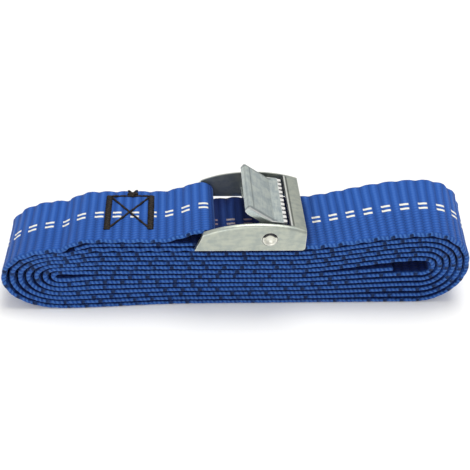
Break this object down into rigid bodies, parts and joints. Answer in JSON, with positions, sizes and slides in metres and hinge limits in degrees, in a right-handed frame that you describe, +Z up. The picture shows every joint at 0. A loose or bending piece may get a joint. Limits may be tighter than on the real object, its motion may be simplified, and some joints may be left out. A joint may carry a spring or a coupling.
{
  "type": "cam buckle lashing strap",
  "caption": "Light-duty lashing strap: 25 mm blue webbing rolled flat, its sewn loop holding a zinc-plated cam buckle with a sprung toothed lever.",
  "frame": {"origin": "on the resting surface, below the middle of the roll's box", "axes": "+X along the roll towards its humped, looser end; +Y across the webbing; +Z up, away from the resting surface"},
  "size_m": [0.1438, 0.0294, 0.0372],
  "materials": {
    "blue_webbing": "woven polyester webbing, royal blue with two rows of white tracer yarn",
    "black_thread": "polyester sewing thread",
    "zinc_plate_frame": "stamped steel, bright zinc plate, slightly yellowish",
    "zinc_plate_lever": "stamped steel, bright zinc plate, bluish",
    "pin_steel": "zinc-plated rivet",
    "spring_wire": "spring wire"
  },
  "bodies": {
    "strap": {"webbing": "blue_webbing", "rear_bar_tack": "black_thread", "front_bar_tack": "black_thread", "cross_stitches": "black_thread", "edge_stitch_run": "black_thread", "thread_knot": "black_thread", "bobbin_thread": "black_thread"},
    "buckle": {"buckle_frame": "zinc_plate_frame", "pivot_pin": "pin_steel", "torsion_spring": "spring_wire"},
    "lever": {"cam_lever": "zinc_plate_lever"}
  },
  "joints": [
    {"name": "buckle_swing", "type": "hinge", "parent": "strap", "child": "buckle", "pos_m": [-0.0105, 0, 0.0272], "axis": [0, -1, 0], "range_deg": [0, 110]},
    {"name": "lever_press", "type": "hinge", "parent": "buckle", "child": "lever", "pos_m": [0.00855, 0, 0.0277], "axis": [0, -1, 0], "range_deg": [0, 35], "stiffness_Nm_per_rad": 0.03, "springref_deg": -34.38, "deforming": ["torsion_spring"]}
  ]
}
